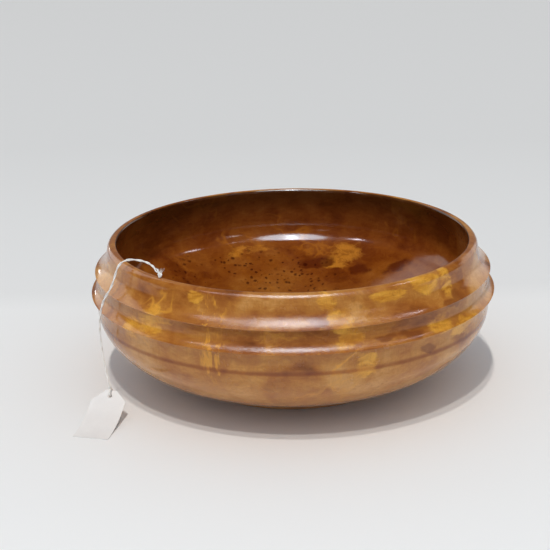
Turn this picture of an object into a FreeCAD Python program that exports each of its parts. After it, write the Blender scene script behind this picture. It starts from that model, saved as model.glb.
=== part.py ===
"""Lathe-turned burr-wood bowl with three ridges, and the strung ticket that hangs over its rim.

Millimetres, +Z up. The origin is the centre of the foot, on the surface that the bowl stands on.
The ticket hangs over the rim on the side of -X and -Y.
"""
import os
import FreeCAD, Part
from math import acos, asin, atan2, cos, degrees, pi, radians, sin, tan
from FreeCAD import Vector

# Outside of the bowl, from the rim down
height = 107.0
lip_inner_radius = 130.0
lip_inner_round = 2.0
lip_outer_radius = 137.0
lip_outer_round = 4.8
collar_radius = 138.7
collar_foot_z = 94.5
upper_ridge_radius = 146.7
upper_ridge_z = 85.8
band_radius = 144.5
band_foot_z = 75.5
lower_ridge_radius = 150.0
lower_ridge_z = 70.0
ridge_tip = 0.6
body_radius = 147.9
body_top_z = 68.8
low_ridge_radius = 146.0
low_ridge_z = 53.0
collar_cove = 1.0
band_cove = 0.9
body_cove = 0.7
body_curve_centre_radius = 75.0
body_curve_drop = 60.3
foot_radius = 80.0
foot_top_radius = 79.0
foot_edge_round = 1.0
foot_clear = 0.4

# Inside of the bowl
hollow_radius = 136.0
hollow_widest_z = 76.0
hollow_corner_round = 18.0
dish_slope = 38.0

# Felt under the foot
felt_radius = 73.6
felt_thickness = 2.4
felt_recess_radius = 74.0

# Ticket card: it lies on the surface by its plain end and curls up towards its hole
card_length = 50.0
card_width = 25.5
card_thickness = 0.4
card_clip = 9.0
card_curl_radius = 75.0
card_foot = Vector(-142.0, -121.0, 0.1)
card_heading = 76.5
hole_from_end = 4.8
hole_radius = 1.8

# Doubled string, its knot on the rim and its hitch in the ticket's hole
string_diameter = 1.6
knot_radius = 1.8
knot_angle = 226.8
knot_track_radius = 133.1
rest_gap = 0.3
hitch_ring_radius = 2.8
hitch_ring_section = 0.6
hitch_from_end = 2.0

# Route of the string from the knot to the hitch
string_route = [
    Vector(-91.6, -95.2, 109.5),
    Vector(-95.0, -86.0, 110.6),
    Vector(-100.8, -74.8, 111.2),
    Vector(-109.2, -69.4, 111.6),
    Vector(-116.4, -70.2, 112.0),
    Vector(-121.8, -72.2, 109.0),
    Vector(-124.2, -73.6, 102.0),
    Vector(-127.2, -73.6, 93.0),
    Vector(-133.2, -71.6, 84.0),
    Vector(-136.6, -69.0, 74.0),
    Vector(-138.2, -66.8, 62.0),
    Vector(-137.9, -66.4, 48.0),
    Vector(-135.9, -69.4, 33.0),
    Vector(-132.0, -76.3, 18.3),
]

UP = Vector(0, 0, 1)
ORIGIN = Vector(0, 0, 0)


def at(radius, z):
    """A point of the lathe profile, in the plane through +X and +Z."""
    return Vector(radius, 0, z)


def line(start, end):
    return Part.LineSegment(start, end).toShape()


def arc(start, through, end):
    return Part.Arc(start, through, end).toShape()


def arc_about(centre, radius, start_deg, end_deg):
    """An arc of the profile about its centre, angles from +X towards +Z."""
    return arc(*(around(centre, radius, a) for a in (start_deg, (start_deg + end_deg) / 2, end_deg)))


def ellipse_down(centre, across, drop, start_angle, end_angle):
    """An arc of an ellipse, its angles counted from its outermost point down towards its lowest one."""
    ellipse = Part.Ellipse(centre + at(across, 0), centre + at(0, -drop), centre)
    return Part.ArcOfEllipse(ellipse, start_angle, end_angle).toShape()


def around(centre, radius, angle_deg):
    """The point of a circle of the profile at an angle from +X towards +Z."""
    return centre + at(radius * cos(radians(angle_deg)), radius * sin(radians(angle_deg)))


def turned(edges):
    """The solid of revolution of a closed profile about the Z axis."""
    face = Part.Face(Part.Wire(Part.__sortEdges__(edges)))
    return face.revolve(ORIGIN, UP, 360)


def cove(wall, tip, hollowness):
    """A concave flare of the profile, from a wall out to a ridge's tip."""
    middle = (wall + tip) / 2
    along = tip - wall
    inward = Vector(along.z, 0, -along.x).normalize()
    return arc(wall, middle + inward * hollowness, tip)


def make_bowl():
    lip_inner = at(lip_inner_radius, height - lip_inner_round)
    lip_crown_in = at(lip_inner_radius + lip_inner_round, height)
    lip_crown_out = at(lip_outer_radius - lip_outer_round, height)
    lip_outer = at(lip_outer_radius, height - lip_outer_round)
    collar_foot = at(collar_radius, collar_foot_z)
    upper_tip = at(upper_ridge_radius, upper_ridge_z)
    upper_under = at(upper_ridge_radius - ridge_tip / 3, upper_ridge_z - ridge_tip)
    band_top = at(band_radius - 0.3, upper_ridge_z - 2 * ridge_tip)
    band_foot = at(band_radius, band_foot_z)
    lower_tip = at(lower_ridge_radius, lower_ridge_z)
    lower_under = at(lower_ridge_radius - ridge_tip / 3, lower_ridge_z - ridge_tip)
    body_top = at(body_radius, body_top_z)
    low_tip = at(low_ridge_radius, low_ridge_z)

    body_centre = at(body_curve_centre_radius, body_top_z)
    body_start = asin((body_top_z - low_ridge_z) / body_curve_drop)
    body_across = (low_ridge_radius - body_curve_centre_radius) / cos(body_start)
    body_end = acos((foot_top_radius - body_curve_centre_radius) / body_across)
    foot_top = at(foot_top_radius, body_top_z - body_curve_drop * sin(body_end))
    foot_side = at(foot_radius, foot_clear + foot_edge_round)
    foot_under = at(foot_radius - foot_edge_round, foot_clear)

    hollow_widest = at(hollow_radius, hollow_widest_z)
    incurve = lip_inner.z - hollow_widest_z
    overhang = hollow_radius - lip_inner_radius
    incurve_radius = (incurve ** 2 + overhang ** 2) / (2 * overhang)
    incurve_turn = degrees(atan2(incurve, incurve_radius - overhang))
    incurve_centre = at(hollow_radius - incurve_radius, hollow_widest_z)
    corner_centre = at(hollow_radius - hollow_corner_round, hollow_widest_z)
    corner_turn = dish_slope - 90
    dish_edge = around(corner_centre, hollow_corner_round, corner_turn)
    dish_radius = dish_edge.x / sin(radians(dish_slope))
    dish_centre = at(0, dish_edge.z + dish_radius * cos(radians(dish_slope)))
    dish_bottom = around(dish_centre, dish_radius, -90)

    edges = [
        arc_about(lip_inner + at(lip_inner_round, 0), lip_inner_round, 180, 90),
        line(lip_crown_in, lip_crown_out),
        arc_about(lip_outer - at(lip_outer_round, 0), lip_outer_round, 90, 0),
        line(lip_outer, collar_foot),
        cove(collar_foot, upper_tip, collar_cove),
        line(upper_tip, upper_under),
        line(upper_under, band_top),
        line(band_top, band_foot),
        cove(band_foot, lower_tip, band_cove),
        line(lower_tip, lower_under),
        line(lower_under, body_top),
        cove(body_top, low_tip, body_cove),
        ellipse_down(body_centre, body_across, body_curve_drop, body_start, body_end),
        line(foot_top, foot_side),
        arc_about(foot_side - at(foot_edge_round, 0), foot_edge_round, 0, -90),
        line(foot_under, at(felt_recess_radius, foot_clear)),
        line(at(felt_recess_radius, foot_clear), at(felt_recess_radius, felt_thickness)),
        line(at(felt_recess_radius, felt_thickness), at(0, felt_thickness)),
        line(at(0, felt_thickness), dish_bottom),
        arc_about(dish_centre, dish_radius, -90, corner_turn),
        arc_about(corner_centre, hollow_corner_round, corner_turn, 0),
        arc_about(incurve_centre, incurve_radius, 0, incurve_turn),
    ]
    return turned(edges)


def make_felt():
    return Part.makeCylinder(felt_radius, felt_thickness)


def card_point(along, above=0.0):
    """A point on the card's centre line, at a distance along the card and above its underside."""
    turn = along / card_curl_radius
    bend = card_curl_radius - above
    return Vector(bend * sin(turn), 0, card_curl_radius - bend * cos(turn))


def place_card(shape):
    """Move a shape from the card's own frame, foot at the origin and length along +X, to its place."""
    shape.rotate(ORIGIN, UP, card_heading)
    shape.translate(card_foot)
    return shape


def make_card():
    half = card_width / 2
    shoulder = card_length - card_clip
    tip_half = half - card_clip
    side = Part.Wire([
        arc(card_point(0), card_point(card_length / 2), card_point(card_length)),
        line(card_point(card_length), card_point(card_length, card_thickness)),
        arc(card_point(card_length, card_thickness), card_point(card_length / 2, card_thickness),
            card_point(0, card_thickness)),
        line(card_point(0, card_thickness), card_point(0)),
    ])
    strip = Part.Face(side).extrude(Vector(0, card_width, 0))
    strip.translate(Vector(0, -half, 0))

    end_x = card_point(card_length).x + 1
    shoulder_x = card_point(shoulder).x
    tip_x = card_point(card_length).x
    outline = Part.makePolygon([
        Vector(-1, -half, -1), Vector(shoulder_x, -half, -1), Vector(tip_x, -tip_half, -1),
        Vector(end_x, -tip_half, -1), Vector(end_x, tip_half, -1), Vector(tip_x, tip_half, -1),
        Vector(shoulder_x, half, -1), Vector(-1, half, -1), Vector(-1, -half, -1),
    ])
    prism = Part.Face(outline).extrude(UP * card_length)
    card = strip.common(prism)

    hole_along = card_length - hole_from_end
    turn = hole_along / card_curl_radius
    out = Vector(-sin(turn), 0, cos(turn))
    hole = Part.makeCylinder(hole_radius, 4, card_point(hole_along) - out * 2, out)
    return place_card(card.cut(hole))


def hitch_centre():
    along = card_length - hitch_from_end
    return card_point(along, card_thickness / 2)


def make_hitch():
    ring = Part.makeTorus(hitch_ring_radius, hitch_ring_section, hitch_centre(), Vector(0, 1, 0))
    return place_card(ring)


def make_knot():
    """A knot that rests on the crown of the lip."""
    angle = radians(knot_angle)
    centre = Vector(knot_track_radius * cos(angle), knot_track_radius * sin(angle),
                    height + rest_gap + knot_radius)
    return Part.makeSphere(knot_radius, centre)


def rounded_path(points):
    """Straight runs joined by tangent arcs, each as large as its two runs allow."""
    edges = []
    start = points[0]
    for before, corner, after in zip(points, points[1:], points[2:]):
        into = (before - corner).normalize()
        onward = (after - corner).normalize()
        turn = pi - into.getAngle(onward)
        setback = 0.45 * min((corner - before).Length, (after - corner).Length)
        radius = setback / tan(turn / 2)
        first = corner + into * setback
        last = corner + onward * setback
        bisector = (into + onward).normalize()
        middle = corner + bisector * (radius / cos(turn / 2) - radius)
        edges += [line(start, first), arc(first, middle, last)]
        print("string turn", round(degrees(turn)), "deg, radius", round(radius, 1), "mm")
        start = last
    edges.append(line(start, points[-1]))
    return Part.Wire(edges)


def make_string():
    path = rounded_path(string_route)
    first = (string_route[1] - string_route[0]).normalize()
    section = Part.Wire(Part.makeCircle(string_diameter / 2, string_route[0], first))
    tube = path.makePipeShell([section], True, True)
    expected = pi * (string_diameter / 2) ** 2 * path.Length
    print("string length", round(path.Length, 1), "mm, volume", round(tube.Volume, 1),
          "mm3, section times length", round(expected, 1))
    return tube


parts = {
    "bowl_body": make_bowl(),
    "foot_felt": make_felt(),
    "tag_card": make_card(),
    "tag_string": make_string(),
    "string_knot": make_knot(),
    "string_hitch": make_hitch(),
}

os.makedirs("parts", exist_ok=True)
for name, shape in parts.items():
    shape.exportStep(f"parts/{name}.step")
    print(name, "solids", len(shape.Solids), "valid", shape.isValid(), "volume", round(shape.Volume, 1))
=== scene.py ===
"""Looks of the turned burr-wood bowl and of the strung ticket that hangs over its rim.

Everything is in metres, in the frame of the CAD model: +Z up, the origin at the centre of the foot.
"""
import random
from functools import reduce
from math import acos, asin, atan2, cos, degrees, pi, radians, sin

import bmesh
import bpy
from mathutils import Matrix, Quaternion, Vector, noise


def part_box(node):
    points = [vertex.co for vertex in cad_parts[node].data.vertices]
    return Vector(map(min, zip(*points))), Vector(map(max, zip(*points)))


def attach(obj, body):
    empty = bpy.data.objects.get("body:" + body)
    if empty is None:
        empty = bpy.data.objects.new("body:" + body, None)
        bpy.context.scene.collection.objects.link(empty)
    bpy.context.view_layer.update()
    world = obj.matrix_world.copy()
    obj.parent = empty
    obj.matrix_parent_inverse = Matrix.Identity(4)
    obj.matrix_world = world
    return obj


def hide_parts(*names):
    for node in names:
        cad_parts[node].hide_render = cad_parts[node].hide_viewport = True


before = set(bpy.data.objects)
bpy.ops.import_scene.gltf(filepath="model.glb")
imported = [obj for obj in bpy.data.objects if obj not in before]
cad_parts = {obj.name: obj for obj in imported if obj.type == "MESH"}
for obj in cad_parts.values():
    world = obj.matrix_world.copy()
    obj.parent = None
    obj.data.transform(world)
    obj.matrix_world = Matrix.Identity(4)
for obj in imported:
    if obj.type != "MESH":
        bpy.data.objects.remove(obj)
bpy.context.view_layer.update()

MM = 0.001
scene = bpy.context.scene
scene.view_settings.view_transform = "Standard"

# ---------------------------------------------------------------------------- sizes from the frame

bowl_low, bowl_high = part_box("bowl_body")
felt_low, felt_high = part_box("foot_felt")
knot_low, knot_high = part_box("string_knot")

rim_z = bowl_high.z
foot_z = bowl_low.z
felt_radius = (felt_high.x - felt_low.x) / 2
knot_centre = (knot_low + knot_high) / 2
knot_radius = (knot_high.z - knot_low.z) / 2

# The lathe profile's own dimensions, in millimetres, as the CAD has them
LIP_INNER, LIP_INNER_ROUND = 130.0, 2.0
LIP_OUTER, LIP_OUTER_ROUND = 137.0, 4.8
COLLAR, COLLAR_FOOT_Z = 138.7, 94.5
UPPER_RIDGE, UPPER_RIDGE_Z = 146.7, 85.8
BAND, BAND_STEP, BAND_FOOT_Z = 144.5, 0.3, 75.5
LOWER_RIDGE, LOWER_RIDGE_Z = 150.0, 70.0
RIDGE_TIP = 0.6
BODY, BODY_TOP_Z = 147.9, 68.8
LOW_RIDGE, LOW_RIDGE_Z = 146.0, 53.0
COLLAR_COVE, BAND_COVE, BODY_COVE = 1.0, 0.9, 0.7
BODY_CENTRE, BODY_DROP = 75.0, 60.3
FOOT, FOOT_TOP, FOOT_ROUND = 80.0, 79.0, 1.0
HOLLOW, HOLLOW_Z = 136.0, 76.0
CORNER_ROUND, DISH_SLOPE = 18.0, 38.0
FELT_RECESS = 74.0

# The low ridge's crest is worn round, by evening out the outline this far above and below it, in mm
WEAR_REACH, WEAR_PASSES = 7.0, 14

# The felt's rounded edge in millimetres, and how far its nap is rubbed and pulled in
FELT_EDGE = 0.8
FELT_RUB, FELT_SHRINK = 0.00012, 0.004
LATHE_STEPS, FELT_STEPS = 384, 180

# The ticket's dimensions, in millimetres, as the CAD has them
CARD_LENGTH, CARD_WIDTH, CARD_THICKNESS, CARD_CLIP = 50.0, 25.5, 0.4, 9.0
CARD_CURL = 75.0
CARD_FOOT = Vector((-142.0, -121.0, 0.1))
CARD_HEADING = radians(76.5)
HOLE_FROM_END, HOLE_RADIUS = 4.8, 1.8
HITCH_FROM_END, HITCH_RADIUS = 2.0, 2.8

# The string, in metres: two strands laid round each other, on the route that the CAD tube has. They
# close in at both ends of it, and part for the first stretch from the knot
STRAND_RADIUS = 0.00042
STRAND_OUT = STRAND_RADIUS * 0.92
STRAND_PITCH = 0.016
STRAND_TURN = radians(45.0)
CLOSING_LENGTH, CLOSED_SHARE = 0.004, 0.35
PARTED_LENGTH, PARTED_GAP = 0.013, 0.9
STRING_ROUTE = [
    (-0.0916, -0.0952, 0.1095), (-0.0950, -0.0860, 0.1106), (-0.1008, -0.0748, 0.1112),
    (-0.1092, -0.0694, 0.1116), (-0.1164, -0.0702, 0.1120), (-0.1218, -0.0722, 0.1090),
    (-0.1242, -0.0736, 0.1020), (-0.1272, -0.0736, 0.0930), (-0.1332, -0.0716, 0.0840),
    (-0.1366, -0.0690, 0.0740), (-0.1382, -0.0668, 0.0620), (-0.1379, -0.0664, 0.0480),
    (-0.1359, -0.0694, 0.0330), (-0.1320, -0.0763, 0.0183)]

# The wrap that closes the hitch on the string, and the frayed fibres of the knot and the hitch, in metres
WRAP_LENGTH, WRAP_TURNS, WRAP_OUT, WRAP_RADIUS = 0.0034, 2.2, 0.00095, 0.00038
KNOT_FIBRES, KNOT_FIBRE_RADIUS = 16, 0.00016
HITCH_FIBRES, HITCH_FIBRE_RADIUS = 5, 0.00011

# How far apart the hitch's two strands lie and how far they splay, in millimetres, and their unevenness
HITCH_APART, HITCH_SPLAY, HITCH_WOBBLE = 0.42, 0.12, 0.05

# ---------------------------------------------------------------------------- camera

VIEW_ELEVATION = radians(18.44)
VIEW_DISTANCE = 1.05
VIEW_ROLL = radians(1.05)
VIEW_LENS = 91.5
VIEW_TARGET = Vector((-0.0131, 0.0, 0.0754))


def make_camera():
    """A camera in front of the bowl and a little above it, rolled by about a degree."""
    data = bpy.data.cameras.new("camera")
    data.lens = VIEW_LENS
    data.sensor_width = 36.0
    data.clip_start = 0.05
    data.clip_end = 50.0
    camera = bpy.data.objects.new("camera", data)
    scene.collection.objects.link(camera)
    back = Vector((0, -cos(VIEW_ELEVATION), sin(VIEW_ELEVATION)))
    camera.location = VIEW_TARGET + back * VIEW_DISTANCE
    look = (-back).to_track_quat("-Z", "Y")
    camera.rotation_mode = "QUATERNION"
    camera.rotation_quaternion = look @ Quaternion((0, 0, 1), -VIEW_ROLL)
    scene.camera = camera


# ---------------------------------------------------------------------------- material building

class Graph:
    """A small helper that writes a node material: every call adds a node and returns an output."""

    def __init__(self, name):
        self.material = bpy.data.materials.new(name)
        self.material.use_nodes = True
        self.tree = self.material.node_tree
        self.tree.nodes.clear()
        self.output = self.tree.nodes.new("ShaderNodeOutputMaterial")
        self.place = self.add("ShaderNodeTexCoord").outputs["Object"]

    def add(self, kind, sockets=None, **settings):
        node = self.tree.nodes.new(kind)
        for key, value in settings.items():
            setattr(node, key, value)
        for key, value in (sockets or {}).items():
            self.feed(node.inputs[key], value)
        return node

    def feed(self, socket, value):
        """Links an output to a socket, or sets the socket's own value."""
        if isinstance(value, bpy.types.NodeSocket):
            self.tree.links.new(value, socket)
        elif isinstance(value, (tuple, list)) and len(value) == 3 and socket.type == "RGBA":
            socket.default_value = (*value, 1.0)
        else:
            socket.default_value = value

    def math(self, operation, a, b=0.0, c=0.0):
        return self.add("ShaderNodeMath", {0: a, 1: b, 2: c}, operation=operation).outputs[0]

    def times(self, a, b):
        return self.math("MULTIPLY", a, b)

    def most(self, a, b):
        return self.math("MAXIMUM", a, b)

    def centred(self, value):
        """A value from 0 to 1, moved to lie about 0."""
        return self.math("SUBTRACT", value, 0.5)

    def summed(self, weighted):
        """The sum of some values, each times its weight."""
        (value, weight), *others = weighted
        total = self.times(value, weight)
        for value, weight in others:
            total = self.math("MULTIPLY_ADD", value, weight, total)
        return total

    def vector(self, operation, a, b=(0, 0, 0)):
        node = self.add("ShaderNodeVectorMath", {0: a, 1: b}, operation=operation)
        return node.outputs["Value" if operation == "LENGTH" else "Vector"]

    def scaled(self, vector, factors):
        return self.vector("MULTIPLY", vector, factors)

    def parts(self, vector):
        """The X, Y and Z of a vector."""
        return self.add("ShaderNodeSeparateXYZ", {0: vector}).outputs[:]

    def span(self, value, low, high, to_low=0.0, to_high=1.0, smooth=True):
        """The value's place between low and high, from to_low to to_high, and no further than those."""
        kind = "SMOOTHSTEP" if smooth else "LINEAR"
        node = self.add("ShaderNodeMapRange", {0: value, 1: low, 2: high, 3: to_low, 4: to_high},
                        interpolation_type=kind)
        return node.outputs[0]

    def noise(self, vector, scale, detail=3.0, rough=0.5, warp=0.0, colour=False):
        node = self.add("ShaderNodeTexNoise", {"Vector": vector, "Scale": scale, "Detail": detail,
                                               "Roughness": rough, "Distortion": warp})
        return node.outputs["Color" if colour else "Fac"]

    def cells(self, vector, scale, output):
        """Scattered cells: either the distance to the nearest one's centre, or its own random colour."""
        node = self.add("ShaderNodeTexVoronoi", {"Vector": vector, "Scale": scale}, feature="F1")
        return node.outputs[output]

    def plates(self, vector, scale, smoothness):
        """Cells of random colour that meet in short blends, as the figure's plates do."""
        node = self.add("ShaderNodeTexVoronoi", {"Vector": vector, "Scale": scale, "Smoothness": smoothness},
                        feature="SMOOTH_F1")
        return node.outputs["Color"]

    def ramp(self, value, stops):
        node = self.add("ShaderNodeValToRGB", {"Fac": value})
        elements = node.color_ramp.elements
        while len(elements) < len(stops):
            elements.new(0.5)
        for element, (position, colour) in zip(elements, stops):
            element.position = position
            element.color = (*colour, 1.0)
        return node.outputs["Color"]

    def mix(self, factor, a, b, blend="MIX"):
        node = self.add("ShaderNodeMix", data_type="RGBA", blend_type=blend, clamp_result=False)
        self.feed(node.inputs[0], factor)
        self.feed(node.inputs[6], a)
        self.feed(node.inputs[7], b)
        return node.outputs[2]

    def bump(self, height, strength, distance, normal=None):
        node = self.add("ShaderNodeBump", {"Height": height, "Strength": strength, "Distance": distance})
        if normal is not None:
            self.feed(node.inputs["Normal"], normal)
        return node.outputs["Normal"]

    def finish(self, shader):
        self.tree.links.new(shader.outputs[0], self.output.inputs["Surface"])
        return self.material


def srgb(red, green, blue):
    """A colour given as a display value from 0 to 255, as the linear colour that a shader takes."""
    def linear(value):
        value /= 255
        return value / 12.92 if value <= 0.04045 else ((value + 0.055) / 1.055) ** 2.4
    return (linear(red), linear(green), linear(blue))


def warped(graph, vector, scale, amount, detail=2.0):
    """A position pushed about by noise, which bends whatever is drawn with it."""
    push = graph.noise(vector, scale, detail, colour=True)
    centred = graph.vector("SUBTRACT", push, (0.5, 0.5, 0.5))
    return graph.vector("ADD", vector, graph.scaled(centred, (amount, amount, amount)))


def patches(graph, vector, rows, soft):
    """1 within a few ellipsoids, falling to 0 outside them. Each row is a centre and radii, in mm."""
    within = []
    for centre, radii in rows:
        offset = graph.vector("SUBTRACT", vector, tuple(c * MM for c in centre))
        reach = graph.vector("LENGTH", graph.scaled(offset, tuple(1 / (r * MM) for r in radii)))
        within.append(graph.span(reach, 1 + soft, 1 - soft))
    return reduce(graph.most, within)


# ---------------------------------------------------------------------------- burr wood

# The marbling's tones from dark to pale, and the tones of what is drawn over it
WOOD_TONES = [
    (0.36, srgb(110, 56, 20)), (0.54, srgb(152, 88, 35)), (0.62, srgb(168, 104, 43)),
    (0.70, srgb(178, 115, 50)), (0.78, srgb(188, 127, 58)), (0.90, srgb(204, 148, 82))]
GOLD_DEEP, GOLD_LIGHT, GOLD_INSIDE = srgb(192, 124, 34), srgb(232, 170, 64), srgb(255, 196, 88)
THREAD_GOLD, STREAK_GOLD = srgb(224, 158, 60), srgb(232, 164, 56)
KNOT_BROWN, EYE_BROWN, FIBRE_BROWN = srgb(112, 50, 22), srgb(70, 16, 6), srgb(130, 72, 34)
# A painted reflection of the white floor, which pales the body towards the foot
PAINTED_FLOOR_REFLECTION = srgb(198, 154, 116)

# How the hollow is darkened by painted shade on the way up from its floor to its lip, most under the lip
HOLLOW_SHADE_FROM, HOLLOW_SHADE_TO = 0.03, 0.10
HOLLOW_PAINTED_SHADE = [
    (0.0, (0.58, 0.41, 0.22)), (0.35, (0.61, 0.42, 0.22)), (0.60, (0.63, 0.44, 0.32)),
    (0.80, (0.49, 0.37, 0.34)), (1.0, (0.23, 0.20, 0.26))]

# Places in the figure: gold, dark and brown patches, streaks, wisps of gold thread, and pin knots, and places
# of painted
# light: pale painted reflections, and painted shade in the first brown patch. Each is an ellipsoid's centre
# and radii, in millimetres
OUTER_GOLD = [
    ((-98, -106, 80), (14, 12, 11)), ((-112, -94, 70), (8, 10, 8)), ((-66, -121, 102), (7, 8, 5)),
    ((20, -136, 102), (7, 9, 7)), ((28, -140, 89), (8, 9, 8)), ((36, -141, 77), (10, 9, 7)),
    ((47, -139, 58), (9, 8, 9)),
    ((64, -122, 100), (16, 10, 4)), ((90, -106, 103), (18, 12, 7)), ((103, -90, 98), (9, 10, 12)),
    ((98, -107, 76), (14, 10, 7)), ((118, -90, 68), (16, 14, 6))]
INNER_GOLD = [
    ((49, 113, 57), (17, 12, 10)), ((36, 105, 50), (12, 9, 7)), ((-34, 117, 57), (20, 8, 4))]
DARK = [
    ((114, -88, 88), (6, 7, 7)), ((107, -98, 84), (9, 8, 3)), ((78, -124, 74), (17, 9, 2.5)),
    ((90, -115, 60), (6, 7, 3)), ((60, -131, 74), (10, 8, 2)),
    ((20, 109, 50), (14, 8, 8)), ((56, 93, 47), (12, 6, 5)), ((86, 80, 54), (15, 8, 5))]
# The first brown patch is painted shade that darkens the front coves under their highlights; the second is
# brown in the figure
BROWN_AND_COVE_SHADE = [((-4, -141, 82), (42, 14, 15)), ((84, -121, 84), (22, 22, 10))]
# Pale patches painted on as reflections: the white floor's, low on the front of the body, and the room's, on
# the hollow's right wall
PAINTED_REFLECTIONS = [((104, 76, 62), (34, 30, 14)), ((0, -128, 30), (70, 30, 14)), ((4, -138, 47), (34, 16, 9))]
STREAKED = [((-56, -130, 78), (9, 14, 32)), ((-52, -136, 58), (8, 8, 10))]
WISPED = [((-48, 120, 62), (30, 14, 12)), ((4, 128, 72), (14, 10, 14)), ((-90, -106, 84), (16, 14, 18)),
          ((30, -138, 62), (22, 14, 12)), ((20, 119, 60), (18, 10, 9))]
EYED = [((-30, 84, 44), (76, 44, 26))]

# Behind this Y, in metres, faint gold is strewn over the outside. The pin knots' cells to a metre
STREWN_BEHIND = -0.055
EYE_DENSITY = 250.0

# The surface inside the bowl's wall that parts the hollow from the outside: a bowl-shaped floor and a
# wall that leans in as it rises, in metres
PARTING_FLOOR, PARTING_BOWING = 0.010, 2.0
PARTING_WALL, PARTING_LEAN = 0.1633, -0.30


def inside_mask(graph):
    """1 on the hollow's surface and 0 on the outside."""
    z = graph.parts(graph.place)[2]
    radius = graph.vector("LENGTH", graph.scaled(graph.place, (1, 1, 0)))
    floor = graph.math("MULTIPLY_ADD", graph.math("POWER", radius, 2.0), PARTING_BOWING, PARTING_FLOOR)
    above = graph.span(graph.math("SUBTRACT", z, floor), 0.0, 0.002)
    wall = graph.math("MULTIPLY_ADD", z, PARTING_LEAN, PARTING_WALL)
    within = graph.span(graph.math("SUBTRACT", wall, radius), 0.0, 0.001)
    return graph.times(above, within)


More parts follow.
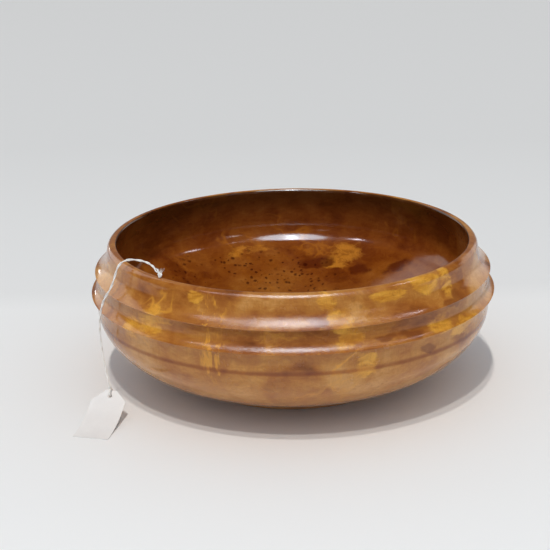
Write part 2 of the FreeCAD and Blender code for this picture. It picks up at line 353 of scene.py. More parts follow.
class BurrFigure:
    """The burr's plates, grain and feathering, and the layers drawn with them, painted shade and painted
    reflections among them.
    """

    def __init__(self, graph, inside):
        self.graph = graph
        self.place = graph.place
        self.inside = inside
        self.outside = graph.math("SUBTRACT", 1.0, inside)
        self.bent = warped(graph, self.place, 9.0, 0.045, 2.0)
        self.crinkled = warped(graph, self.place, 28.0, 0.014, 3.0)
        self.ragged = warped(graph, self.place, 55.0, 0.012, 3.0)
        self.big = graph.parts(graph.plates(self.bent, 21.0, 0.25))[0]
        self.small = graph.parts(graph.plates(self.crinkled, 58.0, 0.35))[0]
        self.grain = graph.noise(graph.scaled(self.crinkled, (1.0, 1.0, 3.0)), 60.0, 4.0, 0.62, 0.5)
        self.feather = graph.noise(graph.scaled(self.crinkled, (1.0, 1.0, 2.2)), 150.0, 5.0, 0.7, 0.8)
        self.rough_edge = graph.summed([
            (graph.centred(self.small), 0.6), (graph.centred(self.big), 0.3),
            (graph.centred(self.grain), 1.5), (graph.centred(self.feather), 1.1)])

    def marbling(self):
        """The ground that the rest is drawn over: plates and clouds of brown, darkened by painted shade on
        the front coves and lightened by painted reflections.
        """
        graph = self.graph
        clouds = graph.noise(self.bent, 15.0, 4.0, 0.55, 0.6)
        # The brown patches darken it, the first as painted shade on the front coves; the pale patches lighten
        # it as painted reflections
        level = graph.summed([
            (self.small, 0.16), (self.big, 0.30), (clouds, 0.55), (self.grain, 0.32),
            (graph.centred(self.feather), 0.34), (patches(graph, self.crinkled, BROWN_AND_COVE_SHADE, 0.6), -0.21),
            (patches(graph, self.crinkled, PAINTED_REFLECTIONS, 0.6), 0.12)])
        return graph.ramp(level, WOOD_TONES)

    def gold_patches(self, tone):
        """Ragged gold plates: strong ones at their places, and faint ones strewn over the back."""
        graph = self.graph
        placed = graph.most(patches(graph, self.crinkled, OUTER_GOLD, 0.45),
                            patches(graph, self.crinkled, INNER_GOLD, 0.6))
        behind = graph.span(graph.parts(self.place)[1], STREWN_BEHIND, STREWN_BEHIND + 0.02)
        behind = graph.times(behind, self.outside)
        strewn = graph.times(graph.span(graph.noise(self.bent, 12.0, 2.0), 0.50, 0.68), behind)
        mask = graph.span(graph.math("ADD", graph.most(placed, strewn), self.rough_edge), 0.28, 0.98)
        mask = graph.times(mask, graph.span(placed, 0.0, 0.3, 0.35, 1.0))
        gold = graph.mix(graph.span(self.grain, 0.35, 0.65), GOLD_DEEP, GOLD_LIGHT)
        gold = graph.mix(self.inside, gold, GOLD_INSIDE)
        return graph.mix(graph.times(mask, 0.85), tone, gold)

    def gold_threads(self, tone):
        """Gold threads that wander between the patches, thickest in the wisps."""
        graph = self.graph
        wandering = graph.noise(warped(graph, self.place, 21.0, 0.035, 3.0), 30.0, 3.0, 0.5)
        off_thread = graph.math("ABSOLUTE", graph.centred(wandering))
        wisps = patches(graph, self.place, WISPED, 0.4)
        zone = graph.most(graph.span(graph.noise(self.place, 22.0, 2.0), 0.48, 0.6), wisps)
        threads = graph.times(graph.span(off_thread, 0.035, 0.0), zone)
        strength = graph.math("MULTIPLY_ADD", wisps, 0.40, 0.30)
        return graph.mix(graph.times(threads, strength), tone, THREAD_GOLD)

    def upright_streaks(self, tone):
        """Upright gold streaks, on the left of the front."""
        graph = self.graph
        upright = graph.scaled(warped(graph, self.place, 40.0, 0.006), (1.0, 1.0, 0.12))
        streaks = graph.span(graph.noise(upright, 230.0, 3.0, 0.6), 0.50, 0.62)
        streaks = graph.times(streaks, patches(graph, self.ragged, STREAKED, 0.35))
        return graph.mix(graph.times(streaks, 0.7), tone, STREAK_GOLD)

    def dark_knots(self, tone):
        """Dark knots and streaks, stronger in the hollow than outside."""
        graph = self.graph
        dark = graph.math("ADD", patches(graph, self.ragged, DARK, 0.6), self.rough_edge)
        near = graph.span(patches(graph, self.ragged, DARK, 0.5), 0.0, 0.3)
        dark = graph.times(graph.span(dark, 0.2, 0.85), near)
        strength = graph.math("MULTIPLY_ADD", self.inside, 0.25, 0.6)
        return graph.mix(graph.times(dark, strength), tone, KNOT_BROWN)

    def pin_knots(self, tone):
        """Small dark dots in clusters, thickest on the far side of the dish."""
        graph = self.graph
        jittered = warped(graph, self.place, 90.0, 0.006, 3.0)
        reach = graph.cells(jittered, EYE_DENSITY, "Distance")
        luck = graph.parts(graph.cells(jittered, EYE_DENSITY, "Color"))[1]
        dot = graph.span(reach, graph.times(luck, 0.58), graph.times(luck, 0.28))
        present = graph.span(luck, 0.24, 0.34)
        moved = graph.vector("ADD", self.place, (0.3, 0.1, 0.2))
        elsewhere = graph.times(graph.span(graph.noise(moved, 16.0, 2.0), 0.58, 0.66), 0.2)
        patchy = graph.times(self.inside, graph.span(graph.noise(self.place, 42.0, 2.0), 0.34, 0.46))
        cluster = graph.times(patches(graph, self.place, EYED, 0.25), patchy)
        dots = graph.times(graph.times(dot, present), graph.most(cluster, elsewhere))
        return graph.mix(graph.times(dots, 0.75), tone, EYE_BROWN)

    def fine_fibres(self, tone):
        """Thin upright fibres, a little darker than the wood between them."""
        graph = self.graph
        upright = graph.scaled(warped(graph, self.place, 30.0, 0.012), (1.0, 1.0, 0.10))
        fibres = graph.noise(upright, 900.0, 3.0, 0.6)
        return graph.mix(graph.span(fibres, 0.35, 0.7, 0.0, 0.16), tone, FIBRE_BROWN)

    def painted_reflection_and_shade(self, tone):
        """A painted reflection of the floor, paler towards the foot, and painted shade, darker up the
        hollow's wall.
        """
        graph = self.graph
        z = graph.parts(self.place)[2]
        # Painted reflection: the white floor's pale veil, strongest towards the foot
        tone = graph.mix(graph.span(z, 0.045, 0.012, 0.0, 0.45), tone, PAINTED_FLOOR_REFLECTION)
        # Painted shade: the hollow darkens up its wall, most under the incurved lip
        painted_shade = graph.ramp(graph.span(z, HOLLOW_SHADE_FROM, HOLLOW_SHADE_TO, smooth=False), HOLLOW_PAINTED_SHADE)
        return graph.mix(self.inside, tone, graph.mix(1.0, tone, painted_shade, "MULTIPLY"))

    def end_grain(self):
        """1 where end grain meets the outside, at the front and the back."""
        across = self.graph.math("ABSOLUTE", self.graph.parts(self.place)[1])
        return self.graph.times(self.graph.span(across, 0.110, 0.140), self.outside)


def burr_wood():
    """Burr under gloss lacquer, through which the fibres of the end grain stand a little proud."""
    graph = Graph("burr_wood")
    figure = BurrFigure(graph, inside_mask(graph))
    tone = figure.marbling()
    # The last layer paints the floor's reflection low on the body and the shade in the hollow
    for layer in (figure.gold_patches, figure.gold_threads, figure.upright_streaks, figure.dark_knots,
                  figure.pin_knots, figure.fine_fibres, figure.painted_reflection_and_shade):
        tone = layer(tone)
    end_grain = figure.end_grain()
    upright = graph.scaled(warped(graph, graph.place, 35.0, 0.004), (1.0, 1.0, 0.07))
    fibres = graph.noise(upright, 1300.0, 2.0, 0.6)
    normal = graph.bump(graph.times(fibres, end_grain), 1.0, 0.00018)
    ripples = graph.noise(graph.place, 45.0, 2.0)
    normal = graph.bump(ripples, 0.25, 0.0004, normal)
    lacquer = graph.span(graph.noise(graph.place, 60.0, 4.0, 0.6), 0.3, 0.7, 0.10, 0.17)
    rough = graph.math("ADD", lacquer, graph.times(end_grain, 0.12))
    shader = graph.add("ShaderNodeBsdfPrincipled", {
        "Base Color": tone, "Roughness": rough, "IOR": 1.5, "Normal": normal})
    return graph.finish(shader)


# ---------------------------------------------------------------------------- felt, card and cotton

def pressed_felt():
    """Green felt with a fuzzy nap."""
    graph = Graph("felt")
    fuzz = graph.noise(graph.place, 900.0, 4.0, 0.7)
    felted = graph.noise(graph.place, 160.0, 3.0, 0.6)
    tone = graph.mix(felted, srgb(36, 74, 46), srgb(58, 98, 64))
    normal = graph.bump(fuzz, 0.7, 0.0005)
    shader = graph.add("ShaderNodeBsdfPrincipled", {
        "Base Color": tone, "Roughness": 0.95, "Sheen Weight": 0.4, "Sheen Roughness": 0.5,
        "Normal": normal})
    return graph.finish(shader)


def white_card():
    """White card, faintly stained, with flecks of pulp."""
    graph = Graph("card")
    pulp = graph.noise(graph.place, 420.0, 4.0, 0.65)
    stain = graph.noise(graph.place, 60.0, 3.0, 0.5)
    tone = graph.mix(graph.span(stain, 0.35, 0.7, 0.0, 0.5), srgb(234, 232, 230), srgb(226, 223, 221))
    tone = graph.mix(graph.span(pulp, 0.62, 0.78, 0.0, 0.35), tone, srgb(226, 219, 214))
    normal = graph.bump(pulp, 0.25, 0.0002)
    shader = graph.add("ShaderNodeBsdfPrincipled", {
        "Base Color": tone, "Roughness": 0.62, "Normal": normal})
    return graph.finish(shader)


def cotton():
    """White cotton, a little soiled, with loose lint."""
    graph = Graph("cotton_string")
    lint = graph.noise(graph.place, 2600.0, 3.0, 0.7)
    soiled = graph.noise(graph.place, 240.0, 2.0)
    tone = graph.mix(graph.span(soiled, 0.4, 0.7, 0.0, 0.6), srgb(244, 242, 238), srgb(226, 222, 214))
    tone = graph.mix(graph.span(lint, 0.5, 0.8, 0.0, 0.4), tone, srgb(205, 200, 192))
    normal = graph.bump(lint, 0.6, 0.00015)
    shader = graph.add("ShaderNodeBsdfPrincipled", {
        "Base Color": tone, "Roughness": 0.85, "Sheen Weight": 0.25, "Sheen Roughness": 0.5,
        "Normal": normal})
    return graph.finish(shader)


# ---------------------------------------------------------------------------- mesh building

def to_object(name, mesh, smooth=True):
    """The mesh as an object of the scene."""
    data = bpy.data.meshes.new(name)
    mesh.to_mesh(data)
    mesh.free()
    if smooth:
        for polygon in data.polygons:
            polygon.use_smooth = True
    made = bpy.data.objects.new(name, data)
    scene.collection.objects.link(made)
    return made


def sharpen(made, angle):
    """Marks edges sharper than an angle, so that ridges stay crisp and the curves between stay smooth."""
    made.data.set_sharp_from_angle(angle=radians(angle))


def finish_piece(made, body, slot, material, *nodes):
    """Gives a piece its material, the body that it rides on and the CAD nodes that it stands for."""
    made.data.materials.append(material)
    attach(made, body)
    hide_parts(*nodes)
    return made


def add_tube(mesh, line, radius, sides, closed=False, taper=False):
    """A round tube along a line of points, with capped ends unless it is closed."""
    count = len(line)
    rings = []
    across = None
    for i, point in enumerate(line):
        before = line[i - 1] if i or closed else line[0]
        after = line[(i + 1) % count] if i < count - 1 or closed else line[-1]
        along = (after - before).normalized()
        if across is None:
            across = along.orthogonal().normalized()
        across = (across - along * across.dot(along)).normalized()
        other = along.cross(across)
        size = radius * (1 - 0.75 * i / (count - 1)) if taper else radius
        rings.append([mesh.verts.new(point + (across * cos(a) + other * sin(a)) * size)
                      for a in (2 * pi * k / sides for k in range(sides))])
    pairs = list(zip(rings, rings[1:]))
    if closed:
        pairs.append((rings[-1], rings[0]))
    for first, second in pairs:
        shift = 0
        if closed and second is rings[0]:
            shift = min(range(sides), key=lambda s: (second[s].co - first[0].co).length)
        for k in range(sides):
            mesh.faces.new((first[k], first[(k + 1) % sides],
                            second[(k + 1 + shift) % sides], second[(k + shift) % sides]))
    if not closed:
        mesh.faces.new(list(reversed(rings[0])))
        mesh.faces.new(rings[-1])


def along_line(line):
    """How far along the line each of its points is."""
    reach = [0.0]
    for before, after in zip(line, line[1:]):
        reach.append(reach[-1] + (after - before).length)
    return reach


def strand(line, phase):
    """One strand's line, wound round the string's own: close to it at both ends, parted by the knot."""
    reach = along_line(line)
    wound = []
    across = None
    for i, point in enumerate(line):
        along = (line[min(i + 1, len(line) - 1)] - line[max(i - 1, 0)]).normalized()
        if across is None:
            across = along.orthogonal().normalized()
        across = (across - along * across.dot(along)).normalized()
        other = along.cross(across)
        turn = phase + 2 * pi * reach[i] / STRAND_PITCH
        to_end = min(reach[i], reach[-1] - reach[i])
        out = STRAND_OUT * min(1.0, CLOSED_SHARE + to_end / CLOSING_LENGTH)
        out *= 1 + PARTED_GAP * sin(pi * min(1.0, reach[i] / PARTED_LENGTH))
        wound.append(point + (across * cos(turn) + other * sin(turn)) * out)
    return wound


# ---------------------------------------------------------------------------- the ticket

def route_line():
    """Points along the string's smooth line, read from the NURBS spline of its route."""
    curve = bpy.data.curves.new("string_route", "CURVE")
    curve.dimensions = "3D"
    spline = curve.splines.new("NURBS")
    spline.points.add(len(STRING_ROUTE) - 1)
    for point, place in zip(spline.points, STRING_ROUTE):
        point.co = (*place, 1.0)
    spline.order_u = 3
    spline.use_endpoint_u = True
    spline.resolution_u = 16
    guide = bpy.data.objects.new("string_route", curve)
    scene.collection.objects.link(guide)
    bpy.context.view_layer.update()
    sampled = bpy.data.meshes.new_from_object(guide)
    line = [vertex.co.copy() for vertex in sampled.vertices]
    bpy.data.objects.remove(guide)
    bpy.data.meshes.remove(sampled)
    return line


def make_string(line, material):
    """The string's two strands, laid round each other."""
    mesh = bmesh.new()
    for phase in (STRAND_TURN, STRAND_TURN + pi):
        add_tube(mesh, strand(line, phase), STRAND_RADIUS, 10)
    return finish_piece(to_object("string_strands", mesh), "lot_tag", "cotton_string", material, "tag_string")


def drawn(draw, *ranges):
    """A vector drawn at random, each part of it from its own range."""
    return Vector([draw.uniform(low, high) for low, high in ranges])


def make_knot(line, material):
    """An overhand knot with frayed ends that stand up from it."""
    draw = random.Random(11)
    mesh = bmesh.new()
    thread = 0.3 * knot_radius
    reach = (knot_radius - thread) / 3
    turns = 96
    loop = []
    for i in range(turns):
        t = 2 * pi * i / turns
        loop.append(knot_centre + Vector((sin(t) + 2 * sin(2 * t), -sin(3 * t) * 1.3,
                                          cos(t) - 2 * cos(2 * t))) * reach)
    add_tube(mesh, loop, thread, 10, closed=True)
    back = (line[8] - line[0]).normalized()
    for _ in range(KNOT_FIBRES):
        lean = drawn(draw, (-0.35, 0.75), (-0.3, 0.5), (0.55, 1.0))
        length = draw.uniform(0.003, 0.0062)
        start = knot_centre + back * draw.uniform(0.0, 0.0025)
        bend = drawn(draw, (-1, 1), (-1, 1), (-0.5, 0.2)) * 0.3
        fibre = [start + lean.normalized() * (length * s) + bend * (length * s * s)
                 for s in (i / 6 for i in range(7))]
        add_tube(mesh, fibre, KNOT_FIBRE_RADIUS, 5, taper=True)
    return finish_piece(to_object("string_tied_knot", mesh), "lot_tag", "cotton_string", material,
                        "string_knot")


def card_point(along, above=0.0, across=0.0):
    """A point of the ticket: along it from the plain end, above its underside and across it, in mm."""
    turn = along / CARD_CURL
    bend = CARD_CURL - above
    flat = Vector((bend * sin(turn), across, CARD_CURL - bend * cos(turn)))
    flat.rotate(Quaternion((0, 0, 1), CARD_HEADING))
    return (flat + CARD_FOOT) * MM


def make_card():
    """The curled card ticket: two sheets of a grid, joined round their edge, with a hole punched through."""
    half = CARD_WIDTH / 2
    shoulder = CARD_LENGTH - CARD_CLIP
    steps, lanes = 60, 24
    mesh = bmesh.new()
    sheets = []
    for above in (0.0, CARD_THICKNESS):
        rows = []
        for i in range(steps + 1):
            along = CARD_LENGTH * i / steps
            width = half - max(0.0, along - shoulder)
            rows.append([mesh.verts.new(card_point(along, above, width * (2 * j / lanes - 1)))
                         for j in range(lanes + 1)])
        sheets.append(rows)
    for rows in sheets:
        for i in range(steps):
            for j in range(lanes):
                mesh.faces.new((rows[i][j], rows[i + 1][j], rows[i + 1][j + 1], rows[i][j + 1]))
    edge = ([(0, j) for j in range(lanes)] + [(i, lanes) for i in range(steps)]
            + [(steps, j) for j in range(lanes, 0, -1)] + [(i, 0) for i in range(steps, 0, -1)])
    for (i, j), (k, m) in zip(edge, edge[1:] + edge[:1]):
        mesh.faces.new((sheets[0][i][j], sheets[0][k][m], sheets[1][k][m], sheets[1][i][j]))
    bmesh.ops.recalc_face_normals(mesh, faces=mesh.faces)
    card = to_object("ticket", mesh)
    punch(card)
    sharpen(card, 40)
    return finish_piece(card, "lot_tag", "card", white_card(), "tag_card")


def punch(card):
    """The round hole near the ticket's clipped end."""
    along = CARD_LENGTH - HOLE_FROM_END
    centre = card_point(along, CARD_THICKNESS / 2)
    out = (card_point(along, 1.0) - card_point(along)).normalized()
    mesh = bmesh.new()
    bmesh.ops.create_cone(mesh, cap_ends=True, segments=40, radius1=HOLE_RADIUS * MM,
                          radius2=HOLE_RADIUS * MM, depth=4 * MM)
    turned = out.to_track_quat("Z", "X").to_matrix().to_4x4()
    bmesh.ops.transform(mesh, matrix=Matrix.Translation(centre) @ turned, verts=mesh.verts)
    cutter = to_object("hole_cutter", mesh, smooth=False)
    cut = card.modifiers.new("hole", "BOOLEAN")
    cut.operation = "DIFFERENCE"
    cut.solver = "EXACT"
    cut.object = cutter
    bpy.context.view_layer.update()
    punched = bpy.data.meshes.new_from_object(card.evaluated_get(bpy.context.evaluated_depsgraph_get()))
    card.modifiers.clear()
    card.data = punched
    bpy.data.objects.remove(cutter)
    for polygon in card.data.polygons:
        polygon.use_smooth = True


def make_hitch(line, material):
    """The doubled string passed through the hole, round the ticket's end and back through its own loop."""
    mesh = bmesh.new()
    add_hitch_loops(mesh)
    tail = [point for point in line if (point - line[-1]).length < WRAP_LENGTH]
    add_wrap(mesh, tail[-1], tail[0])
    draw = random.Random(5)
    for _ in range(HITCH_FIBRES):
        lean = drawn(draw, (-1, 1), (-1, 0.2), (-0.2, 0.7)).normalized()
        length = draw.uniform(0.001, 0.0022)
        fibre = [tail[0] + lean * (length * i / 4) for i in range(5)]
        add_tube(mesh, fibre, HITCH_FIBRE_RADIUS, 5, taper=True)
    return finish_piece(to_object("string_loop_hitch", mesh), "lot_tag", "cotton_string", material,
                        "string_hitch")


def add_hitch_loops(mesh):
    """The two strands that go round the ticket's end, side by side."""
    centre = card_point(CARD_LENGTH - HITCH_FROM_END, CARD_THICKNESS / 2)
    lengthways = (card_point(CARD_LENGTH, 0) - card_point(CARD_LENGTH - 4, 0)).normalized()
    sideways = (card_point(CARD_LENGTH, 0, 1) - card_point(CARD_LENGTH, 0, 0)).normalized()
    out = lengthways.cross(sideways)
    if out.z < 0:
        out = -out
    for side in (-1, 1):
        loop = []
        for i in range(40):
            a = 2 * pi * i / 40
            wobble = 1 + HITCH_WOBBLE * sin(2 * a + side)
            loop.append(centre + (lengthways * cos(a) + out * sin(a)) * HITCH_RADIUS * MM * wobble
                        + sideways * (HITCH_APART * side + HITCH_SPLAY * sin(a)) * MM)
        add_tube(mesh, loop, STRAND_RADIUS, 8, closed=True)


def add_wrap(mesh, low, high):
    """The short wrap where the hitch closes on the string."""
    axis = (high - low).normalized()
    across = axis.orthogonal().normalized()
    wrap = []
    for i in range(49):
        turn = 2 * pi * WRAP_TURNS * i / 48
        wrap.append(low.lerp(high, i / 48)
                    + (across * cos(turn) + axis.cross(across) * sin(turn)) * WRAP_OUT)
    add_tube(mesh, wrap, WRAP_RADIUS, 8)


def make_ticket():
    """The ticket with its string, knot and hitch, which lie on the string's line."""
    material = cotton()
    line = route_line()
    string = make_string(line, material)
    knot = make_knot(line, material)
    hitch = make_hitch(line, material)
    card = make_card()


# ---------------------------------------------------------------------------- the bowl

def sweep(centre, across, rise, start, end, steps):
    """Points of an elliptic arc of the profile, in millimetres; angles in degrees from +X to +Z."""
    angles = [radians(start + (end - start) * i / steps) for i in range(steps + 1)]
    return [(centre[0] + across * cos(a), centre[1] + rise * sin(a)) for a in angles]


def arc(centre, radius, start, end, steps):
    """Points of a round arc of the profile."""
    return sweep(centre, radius, radius, start, end, steps)


def cove(wall, tip, hollowness, steps):
    """Points of a shallow circular arc from a wall out to a ridge's tip, hollowed inwards."""
    chord = Vector((tip[0] - wall[0], tip[1] - wall[1]))
    half = chord.length / 2
    radius = (half ** 2 + hollowness ** 2) / (2 * hollowness)
    inward = Vector((chord.y, -chord.x)).normalized()
    middle = Vector(wall) + chord / 2
    centre = middle - inward * (radius - hollowness)
    start = Vector(wall) - centre
    finish = Vector(tip) - centre
    first = atan2(start.y, start.x)
    turn = atan2(start.x * finish.y - start.y * finish.x, start.dot(finish))
    return [(centre.x + radius * cos(first + turn * i / steps),
             centre.y + radius * sin(first + turn * i / steps)) for i in range(steps + 1)]


def straight(start, end, steps=1):
    """Points of a straight run of the profile."""
    return [(start[0] + (end[0] - start[0]) * i / steps, start[1] + (end[1] - start[1]) * i / steps)
            for i in range(steps + 1)]


def without_repeats(points):
    """The points, less those that lie on the one before."""
    kept = [points[0]]
    for point in points[1:]:
        if (Vector(point) - Vector(kept[-1])).length > 1e-4:
            kept.append(point)
    return kept


def worn(points, height, reach, passes):
    """The outline with its outside corner at a height worn round, by evening out the points near it."""
    for _ in range(passes):
        evened = [points[0]]
        for before, point, after in zip(points, points[1:], points[2:]):
            if point[0] > HOLLOW and abs(point[1] - height) < reach:
                point = tuple((a + 2 * b + c) / 4 for a, b, c in zip(before, point, after))
            evened.append(point)
        points = evened + [points[-1]]
    return points


def hollow_outline(top):
    """From the middle of the dish round its corner and up the wall, which leans in to the lip."""
    rise = top - LIP_INNER_ROUND - HOLLOW_Z
    overhang = HOLLOW - LIP_INNER
    wall_radius = (rise ** 2 + overhang ** 2) / (2 * overhang)
    wall_turn = degrees(atan2(rise, wall_radius - overhang))
    corner = (HOLLOW - CORNER_ROUND, HOLLOW_Z)
    corner_turn = DISH_SLOPE - 90
    dish_edge = arc(corner, CORNER_ROUND, corner_turn, 0, 1)[0]
    dish_radius = dish_edge[0] / sin(radians(DISH_SLOPE))
    dish = (0, dish_edge[1] + dish_radius * cos(radians(DISH_SLOPE)))
    points = arc(dish, dish_radius, -90, corner_turn, 60)
    points += arc(corner, CORNER_ROUND, corner_turn, 0, 18)
    return points + arc((HOLLOW - wall_radius, HOLLOW_Z), wall_radius, 0, wall_turn, 18)


def lip_outline(top):
    """Over the rounded lip and down the collar."""
    points = arc((LIP_INNER + LIP_INNER_ROUND, top - LIP_INNER_ROUND), LIP_INNER_ROUND, 180, 90, 8)
    points += arc((LIP_OUTER - LIP_OUTER_ROUND, top - LIP_OUTER_ROUND), LIP_OUTER_ROUND, 90, 0, 12)
    return points + straight((LIP_OUTER, top - LIP_OUTER_ROUND), (COLLAR, COLLAR_FOOT_Z), 5)


def ridges_outline():
    """The three coves, which run out to the upper, the lower and the low ridge."""
    step = (BAND - BAND_STEP, UPPER_RIDGE_Z - 2 * RIDGE_TIP)
    points = cove((COLLAR, COLLAR_FOOT_Z), (UPPER_RIDGE, UPPER_RIDGE_Z), COLLAR_COVE, 12)
    points += straight((UPPER_RIDGE - RIDGE_TIP / 3, UPPER_RIDGE_Z - RIDGE_TIP), step, 2)
    points += straight(step, (BAND, BAND_FOOT_Z), 5)
    points += cove((BAND, BAND_FOOT_Z), (LOWER_RIDGE, LOWER_RIDGE_Z), BAND_COVE, 10)
    points += straight((LOWER_RIDGE - RIDGE_TIP / 3, LOWER_RIDGE_Z - RIDGE_TIP), (BODY, BODY_TOP_Z), 2)
    return points + cove((BODY, BODY_TOP_Z), (LOW_RIDGE, LOW_RIDGE_Z), BODY_COVE, 14)


def body_outline(bottom, felt_top):
    """The round lower body, the foot, and the recess under it as far as the middle."""
    start = degrees(asin((BODY_TOP_Z - LOW_RIDGE_Z) / BODY_DROP))
    across = (LOW_RIDGE - BODY_CENTRE) / cos(radians(start))
    end = degrees(acos((FOOT_TOP - BODY_CENTRE) / across))
    points = sweep((BODY_CENTRE, BODY_TOP_Z), across, BODY_DROP, -start, -end, 48)
    points += straight(points[-1], (FOOT, bottom + FOOT_ROUND), 3)
    points += arc((FOOT - FOOT_ROUND, bottom + FOOT_ROUND), FOOT_ROUND, 0, -90, 5)
    points += straight((FOOT - FOOT_ROUND, bottom), (FELT_RECESS, bottom), 2)
    points += straight((FELT_RECESS, bottom), (FELT_RECESS, felt_top))
    return points + straight((FELT_RECESS, felt_top), (0, felt_top), 6)


def bowl_profile():
    """The whole closed profile, from the middle of the floor out over the lip and back under the foot."""
    top, bottom, felt_top = rim_z / MM, foot_z / MM, felt_high.z / MM
    points = hollow_outline(top) + lip_outline(top) + ridges_outline() + body_outline(bottom, felt_top)
    return worn(without_repeats(points), LOW_RIDGE_Z, WEAR_REACH, WEAR_PASSES)


def lathe(name, profile, steps):
    """A closed mesh of revolution. The profile starts and ends on the axis, in millimetres."""
    mesh = bmesh.new()
    rings = []
    for radius, z in profile:
        if radius < 1e-6:
            rings.append([mesh.verts.new((0, 0, z * MM))])
            continue
        angles = [2 * pi * i / steps for i in range(steps)]
        rings.append([mesh.verts.new((radius * MM * cos(a), radius * MM * sin(a), z * MM)) for a in angles])
    for inner, outer in zip(rings, rings[1:]):
        for i in range(steps):
            j = (i + 1) % steps
            corners = [inner[i % len(inner)], inner[j % len(inner)],
                       outer[j % len(outer)], outer[i % len(outer)]]
            distinct = list(dict.fromkeys(corners))
            if len(distinct) > 2:
                mesh.faces.new(distinct)
    bmesh.ops.recalc_face_normals(mesh, faces=mesh.faces)
    return to_object(name, mesh)


def make_bowl():
    """The turned bowl, whose ridges stay crisp."""
    bowl = lathe("burr_bowl", bowl_profile(), LATHE_STEPS)
    sharpen(bowl, 35)
    return finish_piece(bowl, "bowl", "burr_wood", burr_wood(), "bowl_body")


def make_felt():
    """A pressed disc with a slightly crumbled, rounded edge."""
    top, bottom, radius = felt_high.z / MM, felt_low.z / MM, felt_radius / MM
    inset = radius - FELT_EDGE
    shoulder = radius - FELT_EDGE * 0.3
    profile = straight((0, bottom), (inset, bottom), 40)
    profile += arc((inset, bottom + FELT_EDGE), FELT_EDGE, -90, 0, 5)
    profile += straight((radius, top - FELT_EDGE), (shoulder, top), 3)
    profile += straight((shoulder, top), (0, top), 20)
    felt = lathe("felt_disc", without_repeats(profile), FELT_STEPS)
    for vertex in felt.data.vertices:
        rub = noise.noise(vertex.co * 400) * FELT_RUB
        shrink = 1 - abs(noise.noise(vertex.co * 150)) * FELT_SHRINK
        vertex.co.x *= shrink
        vertex.co.y *= shrink
        if vertex.co.z < felt_high.z - 0.0004:
            vertex.co.z = max(felt_low.z, vertex.co.z + rub)
    return finish_piece(felt, "bowl", "felt", pressed_felt(), "foot_felt")


# ---------------------------------------------------------------------------- floor and room

ROOM_REACH = 7.0
FLOOR_FRONT_EDGE = -0.25
# The floor's painted shade: its tone along Y, bright in front and greyer towards the back
FLOOR_SHADE_FROM, FLOOR_SHADE_TO = -0.5, 2.5
FLOOR_PAINTED_SHADE = [
    (0.0, (0.95, 0.95, 0.945)), (0.10, (0.88, 0.88, 0.875)), (0.215, (0.85, 0.85, 0.845)),
    (0.23, (0.79, 0.79, 0.785)), (0.42, (0.72, 0.72, 0.715)), (1.0, (0.72, 0.72, 0.715))]

# The screens behind the bowl: name, left and right end, height, brightness
BACKDROP_PLACE = 2.6
BACKDROP_PANELS = [
    ("left", -5.4, -1.5, 4.0, 1.35), ("middle", -1.5, 1.5, 2.5, 0.2), ("right", 1.5, 4.6, 1.7, 1.05)]

# The brightness and colour of the room, of the key lights and of the lamps
ROOM_WHITE = 0.70
AMBIENT, AMBIENT_COLOUR = 0.54, (0.905, 0.975, 1.055, 1.0)
KEY_STRENGTH, KEY_WIDTH, KEY_COLOUR = 0.71, 1.9, (1.06, 1.0, 0.93)
WHITE, WINDOW_WHITE = (1.0, 1.0, 1.0), (0.9, 0.88, 1.0)
SOFT_BOX_WHITE, STRIP_WHITE = (0.84, 1.02, 1.17), (0.9, 1.0, 1.1)


def white_floor():
    """White paper with painted shade: brightest in front, a step greyer just behind the bowl, and greyer on
    towards the back.
    """
    graph = Graph("floor_white")
    y = graph.parts(graph.place)[1]
    tone = graph.ramp(graph.span(y, FLOOR_SHADE_FROM, FLOOR_SHADE_TO, smooth=False), FLOOR_PAINTED_SHADE)
    shader = graph.add("ShaderNodeBsdfPrincipled", {"Base Color": tone, "Roughness": 0.7})
    return graph.finish(shader)


def glow(name, strength):
    """An even white light from a surface."""
    graph = Graph(name)
    shader = graph.add("ShaderNodeEmission", {"Color": WHITE, "Strength": strength})
    return graph.finish(shader)


def stage_panel(name, corners, material, mirrored=True):
    """One flat face of the room. One that isn't mirrored is left out of the lacquer's reflections."""
    mesh = bmesh.new()
    mesh.faces.new([mesh.verts.new(corner) for corner in corners])
    panel = to_object(name, mesh, smooth=False)
    panel.data.materials.append(material)
    panel.visible_glossy = mirrored
    return panel


def make_stage():
    """The floor, the screens and the dome of the room. The lacquer doesn't mirror the floor in front."""
    reach, edge = ROOM_REACH, FLOOR_FRONT_EDGE
    paper = white_floor()
    stage_panel("floor", [(-reach, edge, 0), (reach, edge, 0), (reach, reach, 0), (-reach, reach, 0)], paper)
    stage_panel("floor_front", [(-reach, -reach, 0), (reach, -reach, 0), (reach, edge, 0), (-reach, edge, 0)],
                paper, mirrored=False)
    y = BACKDROP_PLACE
    for side, start, end, top, brightness in BACKDROP_PANELS:
        screen = stage_panel(f"backdrop_{side}", [(start, y, 0), (end, y, 0), (end, y, top), (start, y, top)],
                             glow(f"backdrop_{side}_white", brightness))
        screen.visible_diffuse = False
        screen.visible_camera = False
    mesh = bmesh.new()
    bmesh.ops.create_uvsphere(mesh, u_segments=48, v_segments=24, radius=ROOM_REACH)
    dome = to_object("room_dome", mesh)
    dome.data.materials.append(glow("room_white", ROOM_WHITE))
    dome.visible_glossy = False
    dome.visible_diffuse = False
    dome.visible_shadow = False


def direction(azimuth, elevation):
    """A unit vector; azimuth 0 points to the front (-Y) and 90 to the right (+X), in degrees."""
    a, e = radians(azimuth), radians(elevation)
    return Vector((sin(a) * cos(e), -cos(a) * cos(e), sin(e)))


def aim(lamp, azimuth, elevation):
    """Turns a lamp so that its light comes from that direction."""
    lamp.rotation_mode = "QUATERNION"
    lamp.rotation_quaternion = (-direction(azimuth, elevation)).to_track_quat("-Z", "Y")


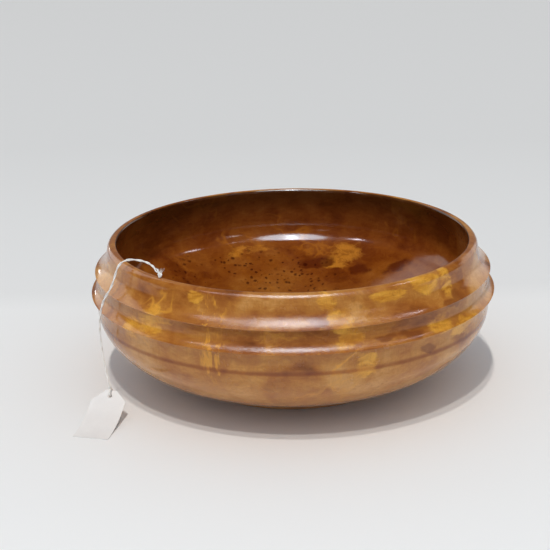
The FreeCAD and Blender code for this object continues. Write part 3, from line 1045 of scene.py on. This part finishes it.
def make_sun(name, azimuth, elevation):
    """A distant lamp that casts a shadow and isn't seen in the lacquer."""
    data = bpy.data.lights.new(name, "SUN")
    data.energy = KEY_STRENGTH
    data.angle = radians(KEY_WIDTH)
    data.color = KEY_COLOUR
    sun = bpy.data.objects.new(name, data)
    scene.collection.objects.link(sun)
    aim(sun, azimuth, elevation)
    sun.visible_glossy = False


def area_lamp(name, shape, size, energy, colour):
    """A lamp that is seen only in the lacquer, and lights nothing else."""
    data = bpy.data.lights.new(name, "AREA")
    data.shape = shape
    data.size, data.size_y = size
    data.energy = energy
    data.color = colour
    lamp = bpy.data.objects.new(name, data)
    scene.collection.objects.link(lamp)
    lamp.visible_camera = False
    lamp.visible_diffuse = False
    return lamp


def make_lamp(name, azimuth, elevation, distance, size, brightness, colour=WHITE):
    """An oval lamp that faces the bowl."""
    lamp = area_lamp(name, "ELLIPSE", size, brightness * pi * (pi * size[0] * size[1] / 4), colour)
    lamp.location = direction(azimuth, elevation) * distance
    aim(lamp, azimuth, elevation)


def make_strip(name, place, size, brightness, colour):
    """A long ceiling lamp that faces down."""
    strip = area_lamp(name, "RECTANGLE", size, brightness * pi * size[0] * size[1], colour)
    strip.location = place


def light_room():
    """Even light from all round, which the lacquer doesn't mirror."""
    world = bpy.data.worlds.new("room")
    scene.world = world
    world.use_nodes = True
    background = world.node_tree.nodes["Background"]
    background.inputs["Color"].default_value = AMBIENT_COLOUR
    background.inputs["Strength"].default_value = AMBIENT
    world.cycles_visibility.glossy = False


def make_lights():
    """Two suns for the shadow, and the lamps that make the lacquer's highlights."""
    light_room()
    make_sun("key_low", -10, 64)
    make_sun("key_high", -14, 72)
    make_lamp("soft_box", -1, 64, 2.0, (1.15, 1.3), 11.0, SOFT_BOX_WHITE)
    make_strip("strip_middle", (-0.01, -0.85, 1.8), (0.16, 0.9), 28, STRIP_WHITE)
    make_lamp("window_left", -61, 54, 2.0, (0.16, 0.24), 45, WINDOW_WHITE)
    make_lamp("window_right", 104, 54, 2.0, (0.16, 0.24), 22, WINDOW_WHITE)
    make_lamp("high_right", 65, 65, 2.0, (0.08, 0.12), 14, WINDOW_WHITE)
    make_lamp("far_left", -150, 6, 2.4, (0.10, 0.10), 12)
    make_lamp("faint_right", 43, 34, 2.4, (0.25, 0.3), 7)
    make_lamp("faint_left", -22, 23, 2.4, (0.12, 0.25), 4)


make_camera()
make_ticket()
make_bowl()
make_felt()
make_stage()
make_lights()
